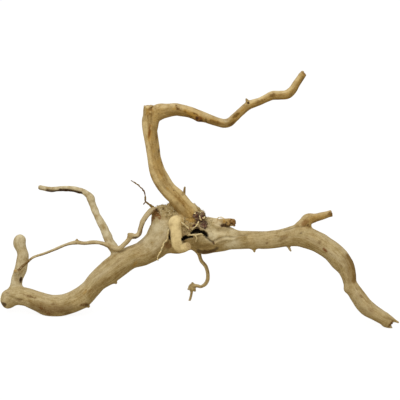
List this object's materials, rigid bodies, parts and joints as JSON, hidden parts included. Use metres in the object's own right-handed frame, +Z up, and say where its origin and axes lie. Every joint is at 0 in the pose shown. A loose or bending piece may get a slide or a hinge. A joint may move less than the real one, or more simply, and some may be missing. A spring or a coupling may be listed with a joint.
{
  "type": "piece of driftwood",
  "caption": "Branched piece of pale root wood with thick arched arms, a tall bent branch, short stubs and thin wandering roots, resting on low points.",
  "frame": {"origin": "middle of the piece's outer box at the surface it rests on", "axes": "+X across from the thick left arm to the broken right end, +Y away from the front, +Z up"},
  "size_m": [0.394, 0.1055, 0.245],
  "materials": {
    "wood": "dry, matt, weathered"
  },
  "bodies": {
    "root": {"driftwood": "wood"}
  },
  "joints": []
}
